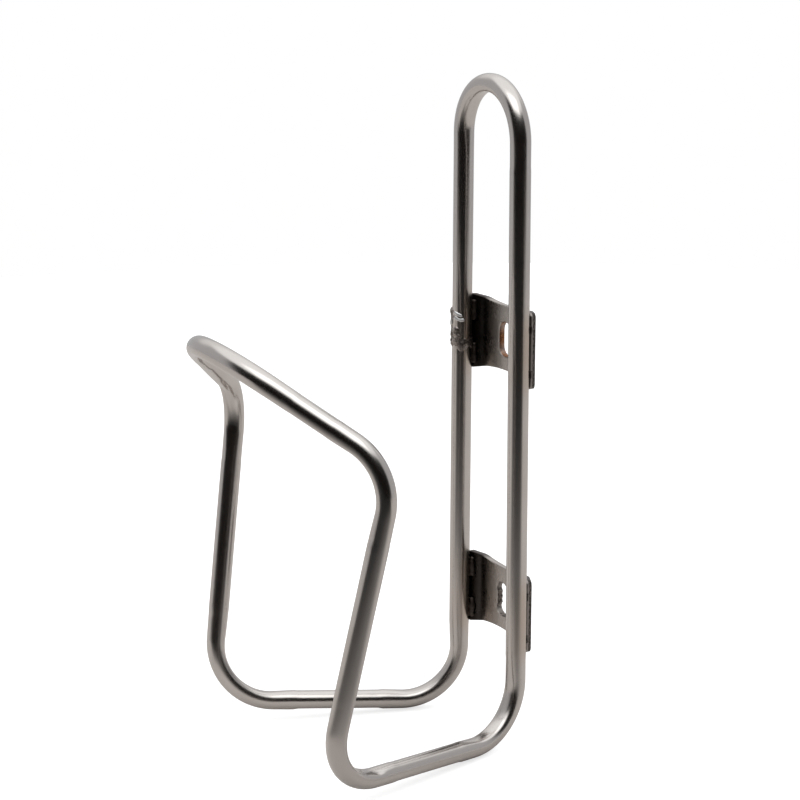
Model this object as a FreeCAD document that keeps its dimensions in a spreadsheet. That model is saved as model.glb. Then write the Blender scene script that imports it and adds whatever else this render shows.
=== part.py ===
import FreeCAD, Part
import math
import os
import Sketcher
from FreeCAD import Placement, Rotation, Vector

# Water bottle cage bent from one stainless tube, with two sheet mounting tabs
# welded across its uprights.
#
# Frame: +X to the right as the bottle sees it, +Y towards the bicycle's frame
# tube, +Z up. The origin is midway between the two slots, on the tabs' back
# faces, where the cage bears on the bicycle. Millimetres throughout.

DRIVING_SIZES = {
    # the tube
    "tube_diameter": 4.76,
    "tube_wall": 0.7,
    # uprights, measured between centrelines, and how far they run from the origin
    "upright_spacing_top": 25.0,
    "upright_spacing_bottom": 27.0,
    "hairpin_rise": 79.4,
    "bottom_drop": 61.2,
    "back_bend_radius": 13.4,
    # front corners, shoulders and loop apex, from the foot of the uprights
    "corner_half_width": 30.5,
    "corner_reach": 59.2,
    "corner_rise": 4.6,
    "corner_bend_radius": 14.5,
    "shoulder_half_width": 39.8,
    "shoulder_reach": 46.6,
    "shoulder_rise": 78.4,
    "shoulder_bend_radius": 14.0,
    "apex_reach": 80.7,
    "apex_rise": 107.0,
    "loop_bend_radius": 25.0,
    # mounting tabs
    "slot_spacing": 64.0,
    "slot_width": 5.2,
    "slot_length": 8.6,
    "tab_width": 28.0,
    "tab_height": 18.0,
    "tab_thickness": 1.5,
    "tab_dish": 1.8,
    "tab_land": 1.1,
    "tab_flank": 3.4,
    "tab_bend_radius": 1.6,
    "tab_corner_radius": 1.2,
    "tab_top_relief": 0.9,
    "tab_bottom_relief": 1.6,
    # welds
    "joint_drop": 3.6,
    "joint_gap": 0.3,
    "joint_bead_width": 3.2,
    "joint_crown_width": 1.6,
    "joint_bead_height": 0.45,
    "tack_radius": 1.5,
    "tack_length": 4.6,
    "tack_offset": 5.2,
    "groove_tack_inset": 2.2,
    "end_tack_radius": 0.85,
    "end_tack_overhang": 0.3,
    "end_tack_length": 2.4,
    "stitch_radius": 0.6,
    "stitch_rise": 3.9,
    "stitch_start": -150.0,
    "stitch_sweep": 190.0,
}

doc = FreeCAD.newDocument("bottle_cage")
sheet = doc.addObject("Spreadsheet::Sheet", "sizes")
for row, (alias, value) in enumerate(DRIVING_SIZES.items(), start=1):
    sheet.set("A%d" % row, alias.replace("_", " "))
    sheet.set("B%d" % row, str(value))
    sheet.setAlias("B%d" % row, alias)
doc.recompute()


def size(alias):
    return float(sheet.get(alias))


def evaluated(expression):
    """The value of an expression on the sheet, in millimetres."""
    return FreeCAD.Units.Quantity(sheet.evalExpression(expression)).Value


def origin_plane(body, role):
    return next(f for f in body.Origin.OriginFeatures if f.Role == role)


def new_body(label):
    body = doc.addObject("PartDesign::Body", label)
    body.Label = label
    return body


def new_sketch(body, name, role):
    sketch = body.newObject("Sketcher::SketchObject", name)
    sketch.AttachmentSupport = [(origin_plane(body, role), "")]
    sketch.MapMode = "FlatFace"
    return sketch


def bind(sketch, kind, arguments, expression):
    """Adds one dimension to a sketch, bound to the sheet by an expression."""
    index = sketch.addConstraint(Sketcher.Constraint(kind, *arguments, evaluated(expression)))
    sketch.setExpression("Constraints[%d]" % index, expression)


def put_point(sketch, geometry, end, across, up):
    """Places a sketch point by two expressions, from the sketch's origin."""
    bind(sketch, "DistanceX", (-1, 1, geometry, end), across)
    bind(sketch, "DistanceY", (-1, 1, geometry, end), up)


def put_circle(sketch, across, up, radius):
    centre = Vector(evaluated(across), evaluated(up), 0)
    index = sketch.addGeometry(Part.Circle(centre, Vector(0, 0, 1), evaluated(radius)))
    put_point(sketch, index, 3, across, up)
    bind(sketch, "Radius", (index,), radius)


# ---------------------------------------------------------------------------
# The centreline of the tube: straight runs joined by tangent arcs
# ---------------------------------------------------------------------------

tube_radius = size("tube_diameter") / 2
upright_y = -(tube_radius + size("tab_dish") + size("tab_thickness"))
foot_z = -size("bottom_drop")
foot_x = size("upright_spacing_bottom") / 2
top_x = size("upright_spacing_top") / 2
hairpin_z = size("hairpin_rise") + top_x

upright_foot = Vector(foot_x, upright_y, foot_z)
upright_top = Vector(top_x, upright_y, hairpin_z)
upright_direction = (upright_top - upright_foot).normalize()


def from_foot(half_width, reach, rise):
    return Vector(half_width, upright_y - reach, foot_z + rise)


def left(point):
    return Vector(-point.x, point.y, point.z)


def on_upright(height):
    """The right upright's centre at a height above the origin."""
    share = (height - upright_foot.z) / (upright_top.z - upright_foot.z)
    return upright_foot + (upright_top - upright_foot) * share


def corner_arc(before, corner, after, radius):
    """Start, middle and end of the arc that rounds one corner of the route."""
    back = (before - corner).normalize()
    ahead = (after - corner).normalize()
    half_angle = back.getAngle(ahead) / 2
    setback = radius / math.tan(half_angle)
    middle_direction = (back + ahead).normalize()
    centre = corner + middle_direction * (radius / math.sin(half_angle))
    return corner + back * setback, centre - middle_direction * radius, corner + ahead * setback


def centreline(route, radii):
    """A wire along the route, with each inner corner rounded to its radius."""
    edges = []
    here = route[0]
    for before, corner, after, radius in zip(route, route[1:], route[2:], radii):
        start, middle, end = corner_arc(before, corner, after, radius)
        if start.distanceToPoint(here) > 1e-6:
            edges.append(Part.LineSegment(here, start).toShape())
        edges.append(Part.Arc(start, middle, end).toShape())
        here = end
    edges.append(Part.LineSegment(here, route[-1]).toShape())
    return Part.Wire(edges)


front_corner = from_foot(size("corner_half_width"), size("corner_reach"), size("corner_rise"))
shoulder = from_foot(size("shoulder_half_width"), size("shoulder_reach"), size("shoulder_rise"))
apex = from_foot(0, size("apex_reach"), size("apex_rise"))

# The two quarter turns of the hairpin meet on the plane of symmetry.
hairpin_turn = math.pi / 2 + math.asin(upright_direction.x * -1)
hairpin_radius = top_x / math.tan(hairpin_turn / 2)

joint_z = size("slot_spacing") / 2 - size("joint_drop")
joint = left(on_upright(joint_z))
half_gap = left(upright_direction) * (size("joint_gap") / 2)

right_side = [upright_top, upright_foot, front_corner, shoulder]
side_radii = [hairpin_radius, size("back_bend_radius"), size("corner_bend_radius"),
              size("shoulder_bend_radius")]
left_side = [left(point) for point in right_side]

route = [joint + half_gap, left_side[0]] + right_side + [apex] + left_side[:0:-1] + [joint - half_gap]
radii = side_radii[:1] + side_radii + [size("loop_bend_radius")] + side_radii[:0:-1]

tube_path = doc.addObject("Part::Feature", "tube_centreline")
tube_path.Shape = centreline(route, radii)

# ---------------------------------------------------------------------------
# The tube: a thin ring swept along the centreline from joint to joint
# ---------------------------------------------------------------------------

cage_tube = new_body("cage_tube")
ring = new_sketch(cage_tube, "tube_section", "XY_Plane")
ring.AttachmentOffset = Placement(
    joint + half_gap, Rotation(Vector(0, 0, 1), left(upright_direction)))
put_circle(ring, "0 mm", "0 mm", "sizes.tube_diameter / 2")
put_circle(ring, "0 mm", "0 mm", "sizes.tube_diameter / 2 - sizes.tube_wall")
tube_sweep = cage_tube.newObject("PartDesign::AdditivePipe", "tube_sweep")
tube_sweep.Profile = (ring, [""])
tube_sweep.Spine = (tube_path, [])

# ---------------------------------------------------------------------------
# The mounting tabs: dished strips of sheet, each with one upright slot
# ---------------------------------------------------------------------------

flank_angle = "atan(sizes.tab_dish / sizes.tab_flank)"
back_shift = "sizes.tab_thickness * tan(%s / 2)" % flank_angle
end_x = "sizes.tab_width / 2"
land_x = "(sizes.tab_width / 2 - sizes.tab_land)"
flat_x = "(sizes.tab_width / 2 - sizes.tab_land - sizes.tab_flank)"
land_front = "-(sizes.tab_dish + sizes.tab_thickness)"
land_back = "-sizes.tab_dish"

# Half of the strip seen from above, from its front middle round to its back middle.
TAB_OUTLINE = [
    (flat_x, "-sizes.tab_thickness"),
    (land_x, land_front),
    (end_x, land_front),
    (end_x, land_back),
    ("%s + %s" % (land_x, back_shift), land_back),
    ("%s + %s" % (flat_x, back_shift), "0 mm"),
]


def edges_along(shape, direction, picks):
    """Names of the straight edges that run along a direction and satisfy picks."""
    names = []
    for index, edge in enumerate(shape.Edges, start=1):
        if not isinstance(edge.Curve, (Part.Line, Part.LineSegment)):
            continue
        if abs(edge.tangentAt(edge.FirstParameter).dot(direction)) < 0.999:
            continue
        if picks(edge.CenterOfMass):
            names.append("Edge%d" % index)
    return names


def round_edges(body, name, base, names, radius):
    fillet = body.newObject("PartDesign::Fillet", name)
    fillet.Base = (base, names)
    fillet.setExpression("Radius", radius)
    doc.recompute()
    return fillet


def mounting_tab(label, height):
    tab = new_body(label)

    plan = new_sketch(tab, label + "_plan", "XY_Plane")
    outline = TAB_OUTLINE + [("-(%s)" % x, y) for x, y in reversed(TAB_OUTLINE)]
    corners = [Vector(evaluated(x), evaluated(y), 0) for x, y in outline]
    for start, end in zip(corners, corners[1:] + corners[:1]):
        plan.addGeometry(Part.LineSegment(start, end))
    for index, (x, y) in enumerate(outline):
        before = (index - 1) % len(outline)
        plan.addConstraint(Sketcher.Constraint("Coincident", before, 2, index, 1))
        put_point(plan, index, 1, x, y)
    strip = tab.newObject("PartDesign::Pad", label + "_strip")
    strip.Profile = plan
    strip.SideType = "Symmetric"
    strip.setExpression("Length", "sizes.tab_height")
    doc.recompute()

    half_width = size("tab_width") / 2
    end_corners = edges_along(strip.Shape, Vector(0, 1, 0), lambda c: abs(c.x) > half_width - 0.01)
    trimmed = round_edges(tab, label + "_corners", strip, end_corners, "sizes.tab_corner_radius")

    thickness, dish = size("tab_thickness"), size("tab_dish")
    land_edge = half_width - size("tab_land")
    flat_edge = land_edge - size("tab_flank")

    def inside_of_bend(c):
        at_land = abs(c.y + dish) < 0.01 and land_edge - 0.01 < abs(c.x) < half_width - 0.01
        at_flat = abs(c.y + thickness) < 0.01 and abs(abs(c.x) - flat_edge) < 0.01
        return at_land or at_flat

    def outside_of_bend(c):
        at_land = abs(c.y + dish + thickness) < 0.01 and abs(abs(c.x) - land_edge) < 0.01
        at_flat = abs(c.y) < 0.01 and abs(c.x) < land_edge
        return at_land or at_flat

    upright = Vector(0, 0, 1)
    inner = round_edges(tab, label + "_inner_bends", trimmed,
                        edges_along(trimmed.Shape, upright, inside_of_bend), "sizes.tab_bend_radius")
    bent = round_edges(tab, label + "_outer_bends", inner,
                       edges_along(inner.Shape, upright, outside_of_bend),
                       "sizes.tab_bend_radius + sizes.tab_thickness")

    relief = new_sketch(tab, label + "_relief", "XZ_Plane")
    for side, depth in ((1, "sizes.tab_top_relief"), (-1, "sizes.tab_bottom_relief")):
        radius = "((%s)^2 + (%s)^2) / (2 * %s)" % (land_x, depth, depth)
        up = "%d * (sizes.tab_height / 2 + %s - %s)" % (side, radius, depth)
        put_circle(relief, "0 mm", up, radius)
    waisted = tab.newObject("PartDesign::Pocket", label + "_waist")
    waisted.Profile = relief
    waisted.Type = "ThroughAll"
    waisted.SideType = "Symmetric"
    doc.recompute()

    opening = new_sketch(tab, label + "_slot_outline", "XZ_Plane")
    half_slot, straight = size("slot_width") / 2, (size("slot_length") - size("slot_width")) / 2
    rounds = ((0, straight, 0, math.pi), (0, -straight, math.pi, 2 * math.pi))
    for x, z, first, last in rounds:
        circle = Part.Circle(Vector(x, z, 0), Vector(0, 0, 1), half_slot)
        opening.addGeometry(Part.ArcOfCircle(circle, first, last))
    for x, low, high in ((-half_slot, straight, -straight), (half_slot, -straight, straight)):
        opening.addGeometry(Part.LineSegment(Vector(x, low, 0), Vector(x, high, 0)))
    for first, first_end, second, second_end in ((0, 2, 2, 1), (2, 2, 1, 1), (1, 2, 3, 1), (3, 2, 0, 1)):
        opening.addConstraint(
            Sketcher.Constraint("Tangent", first, first_end, second, second_end))
    half_straight = "(sizes.slot_length - sizes.slot_width) / 2"
    put_point(opening, 0, 3, "0 mm", half_straight)
    put_point(opening, 1, 3, "0 mm", "-(%s)" % half_straight)
    bind(opening, "Radius", (0,), "sizes.slot_width / 2")
    slot = tab.newObject("PartDesign::Pocket", label + "_slot")
    slot.Profile = opening
    slot.Type = "ThroughAll"
    slot.SideType = "Symmetric"
    doc.recompute()

    tab.setExpression("Placement.Base.z", height)
    return tab


upper_tab = mounting_tab("upper_tab", "sizes.slot_spacing / 2")
lower_tab = mounting_tab("lower_tab", "-sizes.slot_spacing / 2")
doc.recompute()

# ---------------------------------------------------------------------------
# The butt weld that closes the tube: a raised ring with a tongue through the
# tube's wall, turned about the left upright
# ---------------------------------------------------------------------------


def trimmed_weld(label, blank, pieces):
    """Weld metal cut back to the faces of the pieces that it fused with."""
    weld = blank
    for piece in pieces:
        cut = doc.addObject("Part::Cut", "%s_clear_of_%s" % (label, piece.Label))
        cut.Base, cut.Tool = weld, piece
        weld = cut
    weld.Label = label
    return weld


joint_ring = new_body("joint_ring")
bead = new_sketch(joint_ring, "joint_bead_section", "XZ_Plane")
outside, inside = "sizes.tube_diameter / 2", "sizes.tube_diameter / 2 - sizes.tube_wall"
crown = outside + " + sizes.joint_bead_height"
half_bead, half_crown, half_root = (
    "sizes.joint_bead_width / 2", "sizes.joint_crown_width / 2", "sizes.joint_gap / 2")
upper_half = [(inside, half_root), (outside, half_root), (outside, half_bead), (crown, half_crown)]
BEAD_OUTLINE = upper_half + [(across, "-" + up) for across, up in reversed(upper_half)]
points = [Vector(evaluated(across), evaluated(up), 0) for across, up in BEAD_OUTLINE]
for start, end in zip(points, points[1:] + points[:1]):
    bead.addGeometry(Part.LineSegment(start, end))
for index, (across, up) in enumerate(BEAD_OUTLINE):
    before = (index - 1) % len(BEAD_OUTLINE)
    bead.addConstraint(Sketcher.Constraint("Coincident", before, 2, index, 1))
    put_point(bead, index, 1, across, up)
turned = joint_ring.newObject("PartDesign::Revolution", "joint_bead_turned")
turned.Profile = bead
turned.ReferenceAxis = (bead, ["V_Axis"])
turned.Angle = 360
joint_ring.Placement = Placement(joint, Rotation(Vector(0, 0, 1), left(upright_direction)))
tube_joint_weld = trimmed_weld("tube_joint_weld", joint_ring, [upper_tab])

# ---------------------------------------------------------------------------
# The tab welds: on each upright, two tacks in the groove inside the tab and two
# at its sheared end, each a short rod of metal cut to the faces it fused with.
# The left welds mirror the right ones.
# ---------------------------------------------------------------------------


def weld_rod(name, centre, radius, length):
    rod = doc.addObject("Part::Cylinder", name)
    rod.setExpression("Radius", radius)
    rod.setExpression("Height", length)
    rod.Placement = Placement(centre, Rotation())
    return rod


def right_tab_weld(label, tab, height):
    """Weld metal between one tab and the right upright."""
    land_y = -(size("tab_dish") + size("tab_thickness"))
    end_x_centre = size("tab_width") / 2 + size("end_tack_overhang")
    rods = []
    for end, level in ((1, "high"), (-1, "low")):
        middle = height + end * size("tack_offset")
        groove_x = on_upright(middle).x - size("groove_tack_inset")
        tacks = (("groove", groove_x, "sizes.tack_radius", "sizes.tack_length"),
                 ("end", end_x_centre, "sizes.end_tack_radius", "sizes.end_tack_length"))
        for place, x, radius, length in tacks:
            centre = Vector(x, land_y, middle - evaluated(length) / 2)
            rods.append(weld_rod("%s_%s_%s" % (label, place, level), centre, radius, length))
    blank = doc.addObject("Part::MultiFuse", label + "_rods")
    blank.Shapes = rods
    return trimmed_weld(label, blank, [tab, cage_tube])


def mirrored(label, source):
    mirror = doc.addObject("Part::Mirroring", label)
    mirror.Label = label
    mirror.Source = source
    mirror.Normal = Vector(1, 0, 0)
    return mirror


upper_z = size("slot_spacing") / 2
upper_right_tab_weld = right_tab_weld("upper_right_tab_weld", upper_tab, upper_z)
lower_right_tab_weld = right_tab_weld("lower_right_tab_weld", lower_tab, -upper_z)
lower_left_tab_weld = mirrored("lower_left_tab_weld", lower_right_tab_weld)

# Beside the tube's joint the upper tab's weld also runs round the front of the
# left upright as a stitch.
stitch = doc.addObject("Part::Torus", "stitch_ring")
stitch.setExpression("Radius1", "sizes.tube_diameter / 2")
stitch.setExpression("Radius2", "sizes.stitch_radius")
stitch.setExpression("Angle3", "sizes.stitch_sweep")
stitch.Placement = Placement(
    left(on_upright(upper_z + size("stitch_rise"))),
    Rotation(Vector(0, 0, 1), size("stitch_start")))
stitched = doc.addObject("Part::MultiFuse", "stitch_and_tacks")
stitched.Shapes = [mirrored("upper_left_tacks", upper_right_tab_weld),
                   trimmed_weld("stitch", stitch, [upper_tab, cage_tube])]
upper_left_tab_weld = trimmed_weld("upper_left_tab_weld", stitched, [tube_joint_weld])
doc.recompute()

# ---------------------------------------------------------------------------
# Checks and export
# ---------------------------------------------------------------------------

failed = [item.Name for item in doc.Objects if "Invalid" in item.State or "Error" in item.State]
if failed:
    raise RuntimeError("failed objects: " + ", ".join(failed))

bore_radius = tube_radius - size("tube_wall")
swept = math.pi * (tube_radius ** 2 - bore_radius ** 2) * tube_path.Shape.Length
print("tube volume %.1f, section times length %.1f" % (cage_tube.Shape.Volume, swept))

os.makedirs("parts", exist_ok=True)
PIECES = [cage_tube, tube_joint_weld, upper_tab, lower_tab, upper_left_tab_weld,
          upper_right_tab_weld, lower_left_tab_weld, lower_right_tab_weld]
for piece in PIECES:
    shape = piece.Shape
    if shape.isNull() or not shape.isValid() or not shape.Solids:
        raise RuntimeError("bad shape: " + piece.Label)
    shape.exportStep("parts/%s.step" % piece.Label)
    box = shape.optimalBoundingBox()
    print("%-22s solids %d volume %8.2f  x %.2f %.2f  y %.2f %.2f  z %.2f %.2f" % (
        piece.Label, len(shape.Solids), shape.Volume,
        box.XMin, box.XMax, box.YMin, box.YMax, box.ZMin, box.ZMax))
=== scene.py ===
import math

import bmesh
import bpy
from mathutils import Matrix, Vector, noise


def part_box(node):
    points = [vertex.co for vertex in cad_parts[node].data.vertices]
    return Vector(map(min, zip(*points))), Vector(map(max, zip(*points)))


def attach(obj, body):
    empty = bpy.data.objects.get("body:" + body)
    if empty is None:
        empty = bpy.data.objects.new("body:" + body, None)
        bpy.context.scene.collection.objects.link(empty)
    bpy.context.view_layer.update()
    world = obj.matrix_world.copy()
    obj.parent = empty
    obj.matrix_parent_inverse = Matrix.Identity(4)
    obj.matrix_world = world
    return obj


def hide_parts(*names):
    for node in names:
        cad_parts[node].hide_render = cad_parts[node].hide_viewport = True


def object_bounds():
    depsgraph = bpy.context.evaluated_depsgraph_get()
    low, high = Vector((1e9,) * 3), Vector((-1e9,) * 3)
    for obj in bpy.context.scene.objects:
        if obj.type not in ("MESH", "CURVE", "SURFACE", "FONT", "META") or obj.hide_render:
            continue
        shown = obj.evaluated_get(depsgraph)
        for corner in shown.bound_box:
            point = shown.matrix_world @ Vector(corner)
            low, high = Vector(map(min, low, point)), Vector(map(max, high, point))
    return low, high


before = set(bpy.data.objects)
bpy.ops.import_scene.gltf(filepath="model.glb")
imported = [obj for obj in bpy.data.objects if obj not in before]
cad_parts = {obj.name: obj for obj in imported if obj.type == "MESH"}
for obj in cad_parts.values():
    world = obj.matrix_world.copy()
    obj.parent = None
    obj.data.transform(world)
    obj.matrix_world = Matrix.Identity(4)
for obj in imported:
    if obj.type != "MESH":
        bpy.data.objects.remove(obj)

cad_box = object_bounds()
MM = 0.001


# The camera stands a little above the cage, in front of its right side and about half a
# metre away, with a long lens.

CAMERA_PLACE = Vector((439.5, -268.1, 147.0)) * MM
CAMERA_AIM = Vector((20.7, -40.7, 26.8)) * MM
CAMERA_LENS = 101.3

camera = bpy.data.objects.new("camera", bpy.data.cameras.new("camera"))
bpy.context.scene.collection.objects.link(camera)
camera.data.lens = CAMERA_LENS
camera.data.sensor_width = 36
camera.data.clip_start = 0.01
camera.data.clip_end = 20
camera.location = CAMERA_PLACE
camera.rotation_euler = (CAMERA_AIM - CAMERA_PLACE).to_track_quat("-Z", "Y").to_euler()
bpy.context.scene.camera = camera


# The bent tube: one length of thin-walled stainless tube, 3/16 in across, whose ends meet on
# the left upright beside the upper tab. It was bent cold round small formers, so each bend is
# pressed oval, with a flat facet on its inner side and here and there a fold in the wall.

TUBE_RADIUS = 2.38 * MM
UPRIGHT_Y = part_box("cage_tube")[1].y - TUBE_RADIUS
FOOT = Vector((13.5 * MM, UPRIGHT_Y, -61.2 * MM))
HAIRPIN_CORNER = Vector((12.5 * MM, UPRIGHT_Y, 91.9 * MM))
FRONT_CORNER = FOOT + Vector((17.0, -59.2, 4.6)) * MM
SHOULDER = FOOT + Vector((26.3, -46.6, 78.4)) * MM
LOOP_TIP = Vector((0, FOOT.y - 80.67 * MM, FOOT.z + 107.0 * MM))
JOINT_HEIGHT = 28.4 * MM

RUN_STEP = 1.0 * MM
BEND_STEP = math.radians(2.2)
TUBE_SIDES = 60
CRUSH_FADE = 6.0 * MM
FACET_SHARPNESS = 7
DRAWN_WAVE = 0.010 * MM
WAVE_LENGTH = 50 / 3 * MM
WELD_LEVEL = 32.0 * MM
HEAT_TINT = (0.47, 0.38, 0.30, 1)


def mirrored(point):
    """The same place on the cage's other side."""
    return Vector((-point.x, point.y, point.z))


def smooth(low, high, value):
    """0 below low, 1 above high and eased from one to the other."""
    share = min(1.0, max(0.0, (value - low) / (high - low)))
    return share * share * (3 - 2 * share)


def on_upright(height, side):
    """Centre of the right (1) or left (-1) upright at a height."""
    share = (height - FOOT.z) / (HAIRPIN_CORNER.z - FOOT.z)
    centre = FOOT.lerp(HAIRPIN_CORNER, share)
    return centre if side > 0 else mirrored(centre)


class Bend:
    """One bend of the tube: its arc, and how the former pressed it.

    facet is how far out the flat inner side stands, as a share of the tube's radius,
    outer how much the outer side is pulled in, and wide how much the tube spreads. first
    and last are where the arc starts and ends, as distances along the tube.
    """

    def __init__(self, radius, facet, outer, wide):
        self.radius, self.facet, self.outer, self.wide = radius, facet, outer, wide
        self.eases_in, self.eases_out, self.folds = True, True, []

    def fit(self, before, corner, after):
        """Lay the arc into a corner of the route."""
        back, ahead = (before - corner).normalized(), (after - corner).normalized()
        half_angle = back.angle(ahead) / 2
        middle = (back + ahead).normalized()
        self.centre = corner + middle * (self.radius / math.sin(half_angle))
        self.start = corner + back * (self.radius / math.tan(half_angle))
        self.axis = ahead.cross(back).normalized()
        self.turn = math.pi - 2 * half_angle

    def place(self, share):
        """Centre, direction of travel and inward direction at a share of the arc."""
        spin = Matrix.Rotation(self.turn * share, 3, self.axis)
        arm = spin @ (self.start - self.centre)
        return self.centre + arm, self.axis.cross(arm).normalized(), -arm.normalized()

    def hold(self, run):
        """How fully the bend shapes the tube at a distance along it, from 0 to 1."""
        rise = smooth(-CRUSH_FADE, CRUSH_FADE, run - self.first) if self.eases_in else 1
        fall = smooth(-CRUSH_FADE, CRUSH_FADE, self.last - run) if self.eases_out else 1
        return rise * fall

    def nearness(self, run):
        """1 well inside the bend and 0 beyond its fade, at a distance along the tube."""
        return smooth(CRUSH_FADE, -CRUSH_FADE, max(self.first - run, run - self.last))


class Fold:
    """A crease at a bend.

    run is how far past the bend's start it lies and angle how far round from the inner
    side. reach and spread are its half length and half angle, depth is a share of the
    tube's radius, and slant is how many degrees it turns in a millimetre.
    """

    def __init__(self, run, angle, reach, spread, depth, slant):
        self.run, self.angle, self.reach = run, angle, reach
        self.spread, self.depth, self.slant = spread, depth, slant

    def dent(self, run, angle):
        """How deep the crease is at a distance past the bend's start and an angle."""
        past = (run - self.run) / self.reach
        aside = angle - self.angle - self.slant * (run - self.run) / MM
        aside = ((aside + 180) % 360 - 180) / self.spread
        return self.depth * math.exp(-past * past - aside * aside)


hairpin_turn = math.pi / 2 + math.asin((FOOT - HAIRPIN_CORNER).normalized().x)
hairpin_radius = HAIRPIN_CORNER.x / math.tan(hairpin_turn / 2)
hairpin = dict(radius=hairpin_radius, facet=0.86, outer=0.04, wide=0.03)
back_bend = dict(radius=13.4 * MM, facet=0.84, outer=0.05, wide=0.04)
front_bend = dict(radius=14.5 * MM, facet=0.85, outer=0.05, wide=0.04)
shoulder_bend = dict(radius=14.0 * MM, facet=0.84, outer=0.04, wide=0.03)
loop_bend = dict(radius=25.0 * MM, facet=0.80, outer=0.03, wide=0.04)

right_side = [HAIRPIN_CORNER, FOOT, FRONT_CORNER, SHOULDER]
joint = on_upright(JOINT_HEIGHT, -1)
corners = ([mirrored(HAIRPIN_CORNER)] + right_side + [LOOP_TIP]
           + [mirrored(corner) for corner in right_side[:0:-1]])
bends = [Bend(**hairpin), Bend(**hairpin), Bend(**back_bend), Bend(**front_bend),
         Bend(**shoulder_bend), Bend(**loop_bend), Bend(**shoulder_bend),
         Bend(**front_bend), Bend(**back_bend)]
left_hairpin, right_hairpin, _, right_front, _, loop, left_shoulder, _, _ = bends
left_hairpin.eases_out = right_hairpin.eases_in = False
right_front.folds = [Fold(0.4 * MM, -34, 1.5 * MM, 15, 0.13, 4.0)]
loop.folds = [Fold(34 * MM, 38, 7.0 * MM, 6, 0.09, 1.2)]
left_shoulder.folds = [Fold(-2.0 * MM, -22, 3.2 * MM, 7, 0.11, 3.0),
                       Fold(5.0 * MM, 30, 4.5 * MM, 8, 0.10, -3.0)]
ends = [joint] + corners + [joint]
for bend, before, corner, after in zip(bends, ends, ends[1:], ends[2:]):
    bend.fit(before, corner, after)


def tube_stations():
    """Places along the closed tube: centre, direction, inward direction and bend."""
    stations = []
    here = joint
    for bend in bends + [None]:
        there = bend.start if bend else joint
        length = (there - here).length
        steps = max(1, round(length / RUN_STEP))
        if length > 1e-7:
            direction = (there - here).normalized()
            for step in range(steps):
                stations.append((here.lerp(there, step / steps), direction, None, None))
        if bend:
            steps = max(2, round(bend.turn / BEND_STEP))
            for step in range(steps):
                centre, direction, inward = bend.place(step / steps)
                stations.append((centre, direction, inward, bend))
            here = bend.place(1)[0]
    return stations


def pressed(step, inward, bend, weight, run):
    """A unit step from the centre, pressed to the oval of a bend and creased by its folds."""
    across, out = step.dot(inward), step.dot(bend.axis)
    if across > 0:
        flat = max(across, 0.01) ** -FACET_SHARPNESS + bend.facet ** -FACET_SHARPNESS
        flat = flat ** (-1 / FACET_SHARPNESS)
        across_new = across + (flat - across) * weight
    else:
        across_new = across * (1 - bend.outer * weight)
    angle = math.degrees(math.atan2(out, across))
    dent = sum(fold.dent(run - bend.first, angle) for fold in bend.folds)
    return (step * (1 - dent) + inward * (across_new - across)
            + bend.axis * (out * bend.wide * weight))


stations = tube_stations()
along = [0.0]
for (a, *_), (b, *_) in zip(stations, stations[1:]):
    along.append(along[-1] + (b - a).length)
tube_length = along[-1] + (stations[0][0] - stations[-1][0]).length
for bend in bends:
    bend.first = next(run for station, run in zip(stations, along) if station[3] is bend)
    bend.last = bend.first + bend.turn * bend.radius

sides = [stations[0][1].orthogonal().normalized()]
for centre, direction, *_ in stations[1:] + stations[:1]:
    sides.append((sides[-1] - direction * sides[-1].dot(direction)).normalized())
closing_twist = sides[-1].angle(sides[0])
if sides[-1].cross(sides[0]).dot(stations[0][1]) < 0:
    closing_twist = -closing_twist

verts, faces, unrolled = [], [], []
for (centre, direction, inward, own), side, run in zip(stations, sides, along):
    side = Matrix.Rotation(closing_twist * run / tube_length, 3, direction) @ side
    other = direction.cross(side)
    # Where no bend is near, the first one still presses the tube, so the straights that
    # follow it aren't quite round.
    bend = own or max(bends, key=lambda bend: bend.nearness(run))
    weight = bend.hold(run)
    share = min(1.0, max(0.0, (run - bend.first) / (bend.last - bend.first)))
    inward = inward or bend.place(share)[2]
    for index in range(TUBE_SIDES):
        angle = 2 * math.pi * index / TUBE_SIDES
        round_x, round_y = math.cos(angle), math.sin(angle)
        step = pressed(side * round_x + other * round_y, inward, bend, weight, run)
        wave = noise.noise(Vector((run / WAVE_LENGTH, round_x * 0.5, round_y * 0.5)))
        verts.append(centre + step * (TUBE_RADIUS - (1 - wave) * DRAWN_WAVE))
        unrolled += [round_x, round_y, run / TUBE_RADIUS]
for ring in range(len(stations)):
    here, there = ring * TUBE_SIDES, (ring + 1) % len(stations) * TUBE_SIDES
    for index in range(TUBE_SIDES):
        following = (index + 1) % TUBE_SIDES
        faces.append((here + index, here + following, there + following, there + index))


def new_piece(name, verts, faces):
    """A smooth-shaded object in the scene, with its faces turned outward."""
    mesh = bpy.data.meshes.new(name)
    mesh.from_pydata(verts, [], faces)
    shell = bmesh.new()
    shell.from_mesh(mesh)
    bmesh.ops.recalc_face_normals(shell, faces=shell.faces)
    shell.to_mesh(mesh)
    shell.free()
    mesh.polygons.foreach_set("use_smooth", [True] * len(mesh.polygons))
    piece = bpy.data.objects.new(name, mesh)
    bpy.context.scene.collection.objects.link(piece)
    return piece


tube = new_piece("bent_tube", verts, faces)
laid_out = tube.data.attributes.new("laid_out", "FLOAT_VECTOR", "POINT")
laid_out.data.foreach_set("vector", unrolled)


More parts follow.
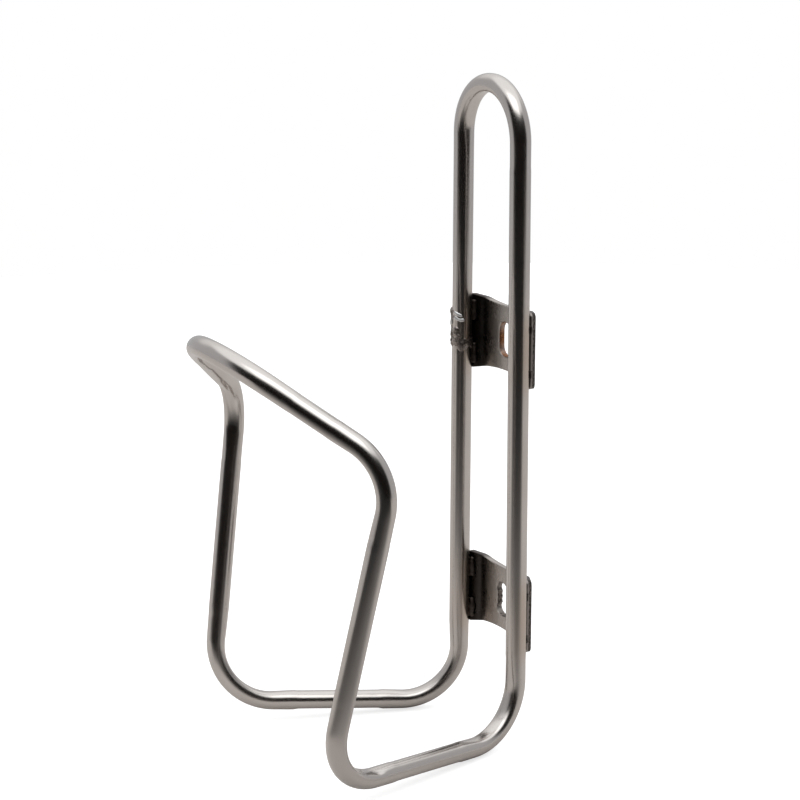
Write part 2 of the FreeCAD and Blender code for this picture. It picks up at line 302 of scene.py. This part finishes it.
class Value:
    """A socket that Python's own operators can work on."""

    tree = None

    def __init__(self, socket):
        self.socket = socket

    @classmethod
    def node(cls, kind, settings=None, output=0, **inputs):
        """One node: its type, its settings, and its sockets by name or, as n0 or n1, by number."""
        made = cls.tree.nodes.new(kind)
        for name, value in (settings or {}).items():
            setattr(made, name, value)
        for name, value in inputs.items():
            key = int(name[1:]) if name[0] == "n" and name[1:].isdigit() else name.replace("_", " ")
            socket = made.inputs[key]
            if isinstance(value, Value):
                cls.tree.links.new(value.socket, socket)
            else:
                socket.default_value = value
        return cls(made.outputs[output])

    def maths(self, operation, other=None, swapped=False):
        """A Math node on this value, alone or with another."""
        pair = [self] if other is None else [self, other]
        if swapped:
            pair.reverse()
        sockets = {"n%d" % index: value for index, value in enumerate(pair)}
        return Value.node("ShaderNodeMath", {"operation": operation}, **sockets)

    def __add__(self, other):
        return self.maths("ADD", other)

    def __sub__(self, other):
        return self.maths("SUBTRACT", other)

    def __rsub__(self, other):
        return self.maths("SUBTRACT", other, swapped=True)

    def __mul__(self, other):
        return self.maths("MULTIPLY", other)

    __radd__, __rmul__ = __add__, __mul__


def between(low, high, value):
    """0 below low, 1 above high and smooth from one to the other."""
    return Value.node("ShaderNodeMapRange", {"interpolation_type": "SMOOTHSTEP"},
                      Value=value, From_Min=low, From_Max=high)


def blended(share, first, second):
    """Two colours mixed by a share."""
    return Value.node("ShaderNodeMix", {"data_type": "RGBA"}, output=2,
                      n0=share, n6=first, n7=second)


def scaled(vector, by):
    """A vector stretched by its own factor along each axis."""
    return Value.node("ShaderNodeVectorMath", {"operation": "MULTIPLY"}, n0=vector, n1=by)


def grain(vector, scale, detail=3.0, roughness=0.55):
    """Noise from 0 to 1."""
    return Value.node("ShaderNodeTexNoise", Vector=vector, Scale=scale, Detail=detail,
                      Roughness=roughness)


def new_material(name):
    """A material and its shader; the nodes that follow are made in it."""
    material = bpy.data.materials.new(name)
    material.use_nodes = True
    Value.tree = material.node_tree
    return material, material.node_tree.nodes["Principled BSDF"]


def feed(shader, **inputs):
    """Set the shader's sockets to values or links."""
    for name, value in inputs.items():
        socket = shader.inputs[name.replace("_", " ")]
        if isinstance(value, Value):
            Value.tree.links.new(value.socket, socket)
        else:
            socket.default_value = value


steel, shader = new_material("tube_steel")
flat_tube = Value.node("ShaderNodeAttribute", {"attribute_name": "laid_out"}, output=1)
lines = grain(scaled(flat_tube, (9.0, 9.0, 0.10)), 1.0, 4.0)
clouds = grain(scaled(flat_tube, (0.7, 0.7, 0.16)), 1.0, 3.0)
colour = blended(clouds, (0.61, 0.58, 0.555, 1), (0.53, 0.49, 0.46, 1))
place = Value.node("ShaderNodeTexCoord", output=3)
height = Value.node("ShaderNodeSeparateXYZ", output=2, Vector=place)
depth = Value.node("ShaderNodeSeparateXYZ", output=1, Vector=place)
from_tab = (height.maths("ABSOLUTE") - WELD_LEVEL).maths("ABSOLUTE")
heated = (1 - between(5 * MM, 13 * MM, from_tab)) * between(-9 * MM, -5 * MM, depth)
colour = blended(heated * (0.30 + 0.5 * clouds), colour, HEAT_TINT)
bump = Value.node("ShaderNodeBump", Height=lines, Strength=0.05, Distance=0.02 * MM)
feed(shader, Base_Color=colour, Metallic=1.0, Normal=bump,
     Roughness=0.16 + 0.09 * clouds + 0.05 * lines)
tube.data.materials.append(steel)
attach(tube, "root")
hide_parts("cage_tube")


# The mounting tabs: two strips of 1.5 mm stainless sheet, sheared to length, waisted at top
# and bottom and dished back in a press so that only their ends meet the tube. Each has one
# upright slot for a frame bolt; the lower slot was opened by drilling and left unfiled.

TAB_HALF_WIDTH = 14.0 * MM
TAB_HALF_HEIGHT = 9.0 * MM
TAB_CORNER = 1.2 * MM
SHEET = 1.5 * MM
DISH = 1.8 * MM
FLANK_START = 9.7 * MM
FLANK_WIDTH = 3.4 * MM
FLANK_BEND = 2.2 * MM
WAIST_HALF_WIDTH = 12.9 * MM
WAIST_TOP = 0.9 * MM
WAIST_BOTTOM = 1.6 * MM
SLOT_RADIUS = 2.6 * MM
SLOT_STRAIGHT = 1.7 * MM
SLOT_HEIGHT = 32.0 * MM
DRILLED_INSET = 0.42 * MM
CUSP_DEPTH = 0.22 * MM
CUSP_PITCH = 1.35 * MM
TORN_DEPTH = 0.035 * MM
TORN_SIZE = 0.55 * MM
SIDE_POINTS, CORNER_POINTS, EDGE_POINTS = 14, 6, 22
FACE_ROWS = 34


def eased_length(start, width, x):
    """How far a slope that eases in over a width from start has got by x."""
    share = min(1.0, max(0.0, (x - start) / width))
    return width * (share ** 3 - share ** 4 / 2) + max(0.0, x - start - width)


def dished(x):
    """Depth of the sheet's middle at x, and its slope."""
    first = FLANK_START - FLANK_BEND / 2
    last = first + FLANK_WIDTH
    aside = abs(x)
    fall = DISH / FLANK_WIDTH
    depth = fall * (eased_length(first, FLANK_BEND, aside) - eased_length(last, FLANK_BEND, aside))
    slope = fall * (smooth(first, first + FLANK_BEND, aside) - smooth(last, last + FLANK_BEND, aside))
    return -SHEET / 2 - depth, -math.copysign(slope, x)


def quarter_outline():
    """The tab's outline from the middle of its right end to the middle of its top."""
    half_width, half_height = TAB_HALF_WIDTH - TAB_CORNER, TAB_HALF_HEIGHT - TAB_CORNER
    points = [(TAB_HALF_WIDTH, half_height * k / SIDE_POINTS) for k in range(SIDE_POINTS)]
    for k in range(CORNER_POINTS):
        angle = math.pi / 2 * k / CORNER_POINTS
        points.append((half_width + TAB_CORNER * math.cos(angle),
                       half_height + TAB_CORNER * math.sin(angle)))
    points += [(half_width * (1 - k / EDGE_POINTS), TAB_HALF_HEIGHT) for k in range(EDGE_POINTS)]
    return points


def quarter_slot(drilled):
    """The slot's outline over the same quarter, with cusps where it was only drilled."""
    count = SIDE_POINTS + CORNER_POINTS + EDGE_POINTS
    points = [(SLOT_RADIUS, SLOT_STRAIGHT * k / SIDE_POINTS) for k in range(SIDE_POINTS)]
    for k in range(count - SIDE_POINTS):
        angle = math.pi / 2 * k / (count - SIDE_POINTS)
        points.append((SLOT_RADIUS * math.cos(angle), SLOT_STRAIGHT + SLOT_RADIUS * math.sin(angle)))
    shaped = []
    for x, z in points:
        waist = 1 - smooth(1.2 * MM, SLOT_RADIUS, z)
        cusps = 0.5 + 0.5 * math.cos(2 * math.pi * z / CUSP_PITCH)
        shaped.append((x - drilled * waist * (DRILLED_INSET + CUSP_DEPTH * cusps), z))
    return shaped


def whole_outline(quarter):
    """A quarter outline carried round all four quarters, in order."""
    top_left = [(-x, z) for x, z in quarter[::-1]]
    bottom_left = [(-x, -z) for x, z in quarter]
    bottom_right = [(x, -z) for x, z in quarter[::-1]]
    middle_top, middle_bottom = (0, quarter[-1][1]), (0, -quarter[-1][1])
    return (quarter + [middle_top] + top_left[:-1] + bottom_left
            + [middle_bottom] + bottom_right[:-1])


def sheet_rows():
    """Rows round the sheet, from the middle of its front face and back to it.

    Each holds the share of the way from slot to outline, the inset from there in mm, the
    depth from front (-1) to back (1), and how much of the row is a cut face.
    """
    half = SHEET / 2
    faces_in = [1 - k / FACE_ROWS for k in range(1, FACE_ROWS)]
    outer_edge = [(1, 0.32, -0.98, 0), (1, 0.10, -0.90, 0.3), (1, 0.0, -0.70, 1), (1, 0.0, -0.05, 1),
                  (1, 0.09, 0.05, 1), (1, 0.12, 0.85, 1), (1, 0.20, 0.99, 0.3)]
    slot_edge = [(0, -0.22, 0.99, 0), (0, -0.06, 0.93, 0.5), (0, 0.0, 0.78, 1), (0, 0.0, 0.0, 1),
                 (0, 0.0, -0.78, 1), (0, -0.08, -0.92, 0.5), (0, -0.26, -0.99, 0)]
    rows = [(share, 0, -1, 0) for share in faces_in[::-1]]
    rows += outer_edge
    rows += [(share, 0, 1, 0) for share in faces_in]
    rows += slot_edge
    return [(share, inset * MM, depth * half, cut) for share, inset, depth, cut in rows]


def sheet_tab(name, node, height, drilled, seed):
    """One tab with its slot at a height; drilled is 1 where the slot was left unfiled."""
    outline, slot = whole_outline(quarter_outline()), whole_outline(quarter_slot(drilled))
    verts, faces, flat, cut = [], [], [], []
    rows = sheet_rows()
    for share, inset, depth, cut_face in rows:
        for (outer_x, outer_z), (slot_x, slot_z) in zip(outline, slot):
            inner, outer = Vector((slot_x, slot_z)), Vector((outer_x, outer_z))
            inset_share = inset / (outer - inner).length
            place = inner.lerp(outer, share - inset_share)
            waist = WAIST_TOP if place.y > 0 else WAIST_BOTTOM
            pull = waist * max(0.0, 1 - (place.x / WAIST_HALF_WIDTH) ** 2)
            reach = smooth(SLOT_RADIUS, TAB_HALF_HEIGHT, abs(place.y))
            z = place.y - math.copysign(pull * reach, place.y)
            middle, slope = dished(place.x)
            out = Vector((slope, -1, 0)).normalized()
            rough = noise.noise(Vector((place.x, z, depth)) / TORN_SIZE + Vector((seed, 0, 0)))
            point = Vector((place.x, middle, z)) - out * depth
            point += Vector((place.x, 0, z)).normalized() * rough * cut_face * TORN_DEPTH
            verts.append(point + Vector((0, 0, height)))
            flat.append(Vector((place.x, z, depth)) / MM)
            cut.append(cut_face)
    around = len(outline)
    for row in range(len(rows)):
        here, there = row * around, (row + 1) % len(rows) * around
        for k in range(around):
            following = (k + 1) % around
            faces.append((here + k, there + k, there + following, here + following))
    tab = new_piece(name, verts, faces)
    laid_flat = tab.data.attributes.new("laid_flat", "FLOAT_VECTOR", "POINT")
    laid_flat.data.foreach_set("vector", [c for v in flat for c in v])
    sheared = tab.data.attributes.new("sheared", "FLOAT", "POINT")
    sheared.data.foreach_set("value", cut)
    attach(tab, "root")
    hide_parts(node)
    return tab


def sheet_steel(name, slot_dark, slot_tint):
    """Rolled sheet: upright grain, ends darkened by heat scorch and by painted shade where they meet
    the tubes, torn edges and the slot's wall tinted by heat.

    The laid_flat attribute is in mm, and so are the distances here.
    """
    material, shader = new_material(name)
    flat = Value.node("ShaderNodeAttribute", {"attribute_name": "laid_flat"}, output=1)
    edge = Value.node("ShaderNodeAttribute", {"attribute_name": "sheared"}, output=2)
    along = Value.node("ShaderNodeSeparateXYZ", output=0, Vector=flat).maths("ABSOLUTE")
    through = Value.node("ShaderNodeSeparateXYZ", output=2, Vector=flat)
    roll = grain(scaled(flat, (6.0, 0.35, 3.0)), 1.0, 4.0)
    clouds = grain(flat, 0.22, 3.0)
    torn = grain(flat, 3.2, 5.0, 0.7)
    face = blended(clouds, (0.50, 0.46, 0.43, 1), (0.38, 0.345, 0.315, 1))
    # Both faces darken towards the ends: heat scorch, and painted shade where the ends meet the tubes.
    scorch_and_shade = between(6.4, 10.4, along + roll * 0.8)
    face = blended(scorch_and_shade, face, (0.05, 0.045, 0.042, 1))
    broken = blended(between(0.45, 0.62, torn), (0.035, 0.03, 0.028, 1), (0.26, 0.23, 0.21, 1))
    burnished = 1 - between(-0.20, -0.05, through)
    end_face = blended(burnished, broken, (0.36, 0.33, 0.31, 1))
    # The cut sides darken towards the ends with the same heat scorch and painted shade.
    side_face = blended(scorch_and_shade, (0.52, 0.48, 0.455, 1), (0.12, 0.105, 0.10, 1))
    cut = blended(between(12.6, 13.3, along), side_face, end_face)
    distance = Value.node("ShaderNodeVectorMath", {"operation": "LENGTH"}, output=1,
                          n0=scaled(flat, (1.0, 0.62, 0.0)))
    near_slot = 1 - between(2.5, 3.4, distance)
    slot_wall = blended(between(0.40, 0.60, torn), slot_dark, slot_tint)
    colour = blended(edge, face, blended(near_slot, cut, slot_wall))
    height = roll * 0.25 + torn * edge
    bump = Value.node("ShaderNodeBump", Height=height, Strength=0.35, Distance=0.05 * MM)
    feed(shader, Base_Color=colour, Metallic=1.0, Normal=bump,
         Roughness=0.19 + 0.12 * clouds + 0.06 * roll + 0.20 * edge)
    return material


upper_tab = sheet_tab("upper_mounting_tab", "upper_tab", SLOT_HEIGHT, 0.0, 3.1)
upper_tab.data.materials.append(sheet_steel("upper_tab_steel", (0.09, 0.04, 0.02, 1),
                                            (0.46, 0.21, 0.09, 1)))
lower_tab = sheet_tab("lower_mounting_tab", "lower_tab", -SLOT_HEIGHT, 1.0, 8.4)
lower_tab.data.materials.append(sheet_steel("lower_tab_steel", (0.06, 0.05, 0.045, 1),
                                            (0.34, 0.30, 0.27, 1)))


# The welds: hand-laid beads of the same steel, left as they cooled. One rings the left
# upright where the tube's ends meet, with a seam and two stitches run on above it, and
# short tacks hold each tab to each upright.

BEAD_SIDES = 18
BEAD_STEP = 0.22 * MM
LUMP_SIZE, LUMP_SHARE = 1.3 * MM, 0.42
POCK_SIZE, POCK_SHARE = 0.45 * MM, 0.16
JOINT_BEAD_HEIGHT = 29.4 * MM
STITCH_HEIGHTS = (36.7 * MM, 35.5 * MM)
SEAM_HEIGHT = 33.2 * MM
LUMP_HEIGHT = 31.4 * MM
TACK_OFFSET = 5.2 * MM


def bead(path, outward, half_width, half_height, ripple, seed):
    """One bead along a path of places, standing up along outward, with its cooling ripples."""
    lengths = [0.0]
    for a, b in zip(path, path[1:]):
        lengths.append(lengths[-1] + (b - a).length)
    total = lengths[-1]
    steps = max(8, round(total / BEAD_STEP))
    verts, faces = [], []
    for step in range(steps + 1):
        run = total * step / steps
        index = next((k for k in range(1, len(path)) if lengths[k] >= run - 1e-12), len(path) - 1)
        share = (run - lengths[index - 1]) / (lengths[index] - lengths[index - 1])
        centre = path[index - 1].lerp(path[index], share)
        up = outward[index - 1].lerp(outward[index], share).normalized()
        ahead = (path[index] - path[index - 1]).normalized()
        across = ahead.cross(up).normalized()
        from_end = min(run, total - run)
        rounding = math.sqrt(max(0.02, 1 - max(0.0, 1 - from_end / half_width) ** 2))
        swell = 1 + 0.22 * noise.noise(Vector((run / (1.1 * MM), seed, 0)))
        for k in range(BEAD_SIDES):
            angle = 2 * math.pi * k / BEAD_SIDES
            side_step, up_step = math.cos(angle), math.sin(angle)
            lag = 0.5 * ripple * side_step ** 2
            scale = swell * (0.86 + 0.14 * abs(math.sin(math.pi * (run + lag) / ripple)) ** 0.6)
            arm = across * side_step * half_width + up * up_step * half_height
            place = centre + arm * rounding * scale
            lump = noise.noise(place / LUMP_SIZE + Vector((0, 0, seed)))
            pock = noise.noise(place / POCK_SIZE + Vector((seed, 0, 0)))
            verts.append(place + (place - centre) * (LUMP_SHARE * lump + POCK_SHARE * pock))
    for step in range(steps):
        here, there = step * BEAD_SIDES, (step + 1) * BEAD_SIDES
        for k in range(BEAD_SIDES):
            following = (k + 1) % BEAD_SIDES
            faces.append((here + k, here + following, there + following, there + k))
    faces.append(tuple(reversed(range(BEAD_SIDES))))
    faces.append(tuple(range(steps * BEAD_SIDES, (steps + 1) * BEAD_SIDES)))
    return verts, faces


def round_upright(height, side, first, last, sink, wander):
    """A path round an upright at a height, from one angle to another in degrees."""
    steps = max(2, round(abs(last - first) / 6))
    path, outward = [], []
    for step in range(steps + 1):
        angle = math.radians(first + (last - first) * step / steps)
        out = Vector((math.cos(angle), math.sin(angle), 0))
        rise = wander * math.sin(2.7 * angle)
        path.append(on_upright(height, side) + out * (TUBE_RADIUS - sink) + Vector((0, 0, rise)))
        outward.append(out)
    return path, outward


def upright_line(place, height, length, out):
    """A short vertical path centred at a height beside a place, with one outward direction."""
    low, high = (Vector((place.x, place.y, height + end * length / 2)) for end in (-1, 1))
    return [low, high], [out, out]


def weld_piece(name, node, silver_and_highlight, burnt_and_shaded=()):
    """Silver beads, with a painted highlight on the left rim, and near-black beads, whose black is
    weld soot and painted shade, joined into the piece that stands for one weld.
    """
    verts, faces, finish = [], [], []
    for finish_index, beads in enumerate((silver_and_highlight, burnt_and_shaded)):
        for bead_verts, bead_faces in beads:
            start = len(verts)
            verts += bead_verts
            faces += [tuple(start + index for index in face) for face in bead_faces]
            finish += [finish_index] * len(bead_faces)
    piece = new_piece(name, verts, faces)
    piece.data.materials.append(bead_steel)
    piece.data.materials.append(burnt_and_shaded_steel)
    piece.data.polygons.foreach_set("material_index", finish)
    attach(piece, "root")
    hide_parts(node)
    return piece


bead_steel, shader = new_material("weld_bead_steel")
place = Value.node("ShaderNodeTexCoord", output=3)
spatter = grain(place, 2600.0, 4.0, 0.65)
scale_film = grain(place, 420.0, 3.0)
level = Value.node("ShaderNodeSeparateXYZ", output=2, Vector=place)
sideways = Value.node("ShaderNodeSeparateXYZ", output=0, Vector=place)
# The top stitches are bright silver steel. On the left upright's left rim the beads are also painted
# bright and less metallic: a painted highlight.
top_stitches = between(33.2 * MM, 34.4 * MM, level)
left_rim_highlight = 1 - between(-14.7 * MM, -13.9 * MM, sideways)
silver_and_highlight = top_stitches.maths("MAXIMUM", left_rim_highlight) * (1 - between(0.46, 0.55, scale_film))
film = 1 - silver_and_highlight
dull = blended(between(0.40, 0.60, spatter), (0.46, 0.415, 0.385, 1), (0.15, 0.125, 0.11, 1))
colour = blended(silver_and_highlight, dull, (0.82, 0.82, 0.82, 1))
bump = Value.node("ShaderNodeBump", Height=spatter, Strength=0.5, Distance=0.06 * MM)
feed(shader, Base_Color=colour, Metallic=1.0 - 0.40 * silver_and_highlight, Normal=bump,
     Roughness=0.22 + 0.16 * film)

# The tacks are near black: partly weld soot, and partly painted shade where they sit in the groove and
# at the tab ends against the tubes.
burnt_and_shaded_steel, shader = new_material("burnt_and_shaded_bead_steel")
place = Value.node("ShaderNodeTexCoord", output=3)
soot = grain(place, 700.0, 4.0)
bump = Value.node("ShaderNodeBump", Height=soot, Strength=0.5, Distance=0.05 * MM)
colour = blended(soot, (0.03, 0.026, 0.024, 1), (0.12, 0.10, 0.09, 1))
feed(shader, Base_Color=colour, Metallic=1.0, Normal=bump, Roughness=0.30 + 0.2 * soot)


def tab_tacks(side, height, seed):
    """The four tacks between one tab and one upright: two in the groove, two at the end."""
    groove = Vector((side * 11.75 * MM, -3.15 * MM, 0))
    end = Vector((side * 14.1 * MM, -3.3 * MM, 0))
    beads = []
    inward, outward = Vector((-side, -1, 0)).normalized(), Vector((side, -1, 0)).normalized()
    for level in (1, -1):
        middle = height + level * TACK_OFFSET
        path, out = upright_line(groove, middle, 5.0 * MM, inward)
        beads.append(bead(path, out, 0.75 * MM, 0.50 * MM, 0.75 * MM, seed + level))
        path, out = upright_line(end, middle, 2.2 * MM, outward)
        beads.append(bead(path, out, 0.42 * MM, 0.38 * MM, 0.6 * MM, seed + 2 + level))
    return beads


joint_path = round_upright(JOINT_BEAD_HEIGHT, -1, -150, 215, 0.36 * MM, 0.35 * MM)
joint_ring = bead(*joint_path, 1.7 * MM, 0.55 * MM, 1.3 * MM, 1.7)
weld_piece("tube_joint_bead", "tube_joint_weld", [joint_ring])

high_path = round_upright(STITCH_HEIGHTS[0], -1, -150, -25, 0.22 * MM, 0.45 * MM)
high_stitch = bead(*high_path, 0.46 * MM, 0.42 * MM, 0.8 * MM, 4.2)
low_path = round_upright(STITCH_HEIGHTS[1], -1, -150, -12, 0.22 * MM, 0.40 * MM)
low_stitch = bead(*low_path, 0.52 * MM, 0.42 * MM, 0.9 * MM, 6.9)
seam_out = Vector((-0.62, -0.78, 0)).normalized()
seam = on_upright(33 * MM, -1) + seam_out * (TUBE_RADIUS - 0.15 * MM)
seam_path = upright_line(seam, SEAM_HEIGHT, 9.5 * MM, seam_out)
seam_bead = bead(*seam_path, 1.0 * MM, 0.55 * MM, 1.1 * MM, 9.3)
lump_out = Vector((0.35, -0.94, 0)).normalized()
lump = on_upright(31 * MM, -1) + lump_out * (TUBE_RADIUS - 0.2 * MM)
lump_path = upright_line(lump, LUMP_HEIGHT, 4.4 * MM, lump_out)
lump_bead = bead(*lump_path, 1.2 * MM, 0.6 * MM, 1.0 * MM, 12.1)
weld_piece("upper_left_beads", "upper_left_tab_weld",
           [high_stitch, low_stitch, seam_bead, lump_bead], tab_tacks(-1, SLOT_HEIGHT, 15.0))
weld_piece("upper_right_beads", "upper_right_tab_weld", [], tab_tacks(1, SLOT_HEIGHT, 22.0))
weld_piece("lower_left_beads", "lower_left_tab_weld", [], tab_tacks(-1, -SLOT_HEIGHT, 31.0))
weld_piece("lower_right_beads", "lower_right_tab_weld", [], tab_tacks(1, -SLOT_HEIGHT, 43.0))


# The studio: a plain sheet under the cage in a room, lit by one soft lamp overhead and by the
# room's pale ceiling and back. The camera sees sheet and room as white, and the steel reflects
# them darker on the side that the camera looks from.

FLOOR_RADIUS = 600 * MM
FLOOR_SIDES = 96
CAMERA_SIDE = math.radians(57)
SHADE_SHIFT = 35 * MM
NEAR_FOOT = Vector((24, -72, -63)) * MM
PAPER_WARMTH = (1.0, 0.945, 0.905, 1)
camera_side = (math.sin(CAMERA_SIDE), -math.cos(CAMERA_SIDE), 0)


def towards(vector, direction):
    """How far a vector goes in a direction."""
    return Value.node("ShaderNodeVectorMath", {"operation": "DOT_PRODUCT"}, output=1,
                      n0=vector, n1=direction)


floor_z = cad_box[0].z - 0.2 * MM
rim = []
for k in range(FLOOR_SIDES):
    angle = 2 * math.pi * k / FLOOR_SIDES
    rim.append((FLOOR_RADIUS * math.cos(angle), FLOOR_RADIUS * math.sin(angle), floor_z))
floor = new_piece("floor", rim, [list(range(FLOOR_SIDES))])
paper, shader = new_material("floor_paper")
seen = Value.node("ShaderNodeLightPath", output=0)
place = Value.node("ShaderNodeTexCoord", output=3)
forward = towards(place, camera_side)
rightward = towards(place, (math.cos(CAMERA_SIDE), math.sin(CAMERA_SIDE), 0))
aside = (rightward + SHADE_SHIFT).maths("ABSOLUTE")
from_foot = Value.node("ShaderNodeVectorMath", {"operation": "DISTANCE"}, output=1,
                       n0=place, n1=NEAR_FOOT)
fall_off = 0.58 * between(-0.08, 0.09, forward) + 0.42 * between(0, 0.30, forward)
shaded = (1 - between(-0.07, 0.08, aside - 1.35 * forward)) * fall_off
glow = (1 - shaded) * 0.70 + (1 - between(0.02, 0.07, from_foot)) * 0.36
glow = blended(glow, (0, 0, 0, 1), PAPER_WARMTH)
feed(shader, Base_Color=blended(seen, glow, (0.6, 0.6, 0.6, 1)), Roughness=0.9,
     Emission_Color=blended(seen, (0, 0, 0, 1), (0.72, 0.72, 0.72, 1)), Emission_Strength=1.0)
floor.data.materials.append(paper)

ROOM_SIDE = (0.545, 0.55, 0.565, 1)
ROOM_BACK = (0.98, 0.98, 0.98, 1)
ROOM_TOP = (1.28, 1.30, 1.32, 1)
ROOM_DARK = (0.006, 0.0042, 0.0034, 1)

world = bpy.data.worlds.new("studio")
bpy.context.scene.world = world
world.use_nodes = True
Value.tree = world.node_tree
sky = world.node_tree.nodes["Background"]
direction = Value.node("ShaderNodeTexCoord", output=0)
level = Value.node("ShaderNodeVectorMath", {"operation": "NORMALIZE"}, n0=scaled(direction, (1, 1, 0)))
facing = towards(level, camera_side)
height = towards(direction, (0, 0, 1))
behind = between(0.45, 0.8, facing * -1.0) * between(0.25, 0.45, height)
ceiling = between(0.6, 0.76, height)
dark_wall = between(math.cos(math.radians(80)), math.cos(math.radians(66)), facing)
room = blended(behind, ROOM_SIDE, ROOM_BACK)
room = blended(ceiling, room, ROOM_TOP)
room = blended(dark_wall * (1 - ceiling), room, ROOM_DARK)
seen = Value.node("ShaderNodeLightPath", output=0)
room = blended(seen, room, (1, 1, 1, 1))
Value.tree.links.new(room.socket, sky.inputs["Color"])

LAMP_PLACE = Vector((230, -150, 640)) * MM
LAMP_AIM = Vector((0, -35, 0)) * MM

lamp = bpy.data.objects.new("soft_lamp", bpy.data.lights.new("soft_lamp", "AREA"))
bpy.context.scene.collection.objects.link(lamp)
lamp.data.shape = "RECTANGLE"
lamp.data.size, lamp.data.size_y = 0.6, 0.4
lamp.data.energy = 0.7
lamp.location = LAMP_PLACE
lamp.rotation_euler = (LAMP_AIM - LAMP_PLACE).to_track_quat("-Z", "Y").to_euler()
bpy.context.scene.view_settings.view_transform = "Standard"
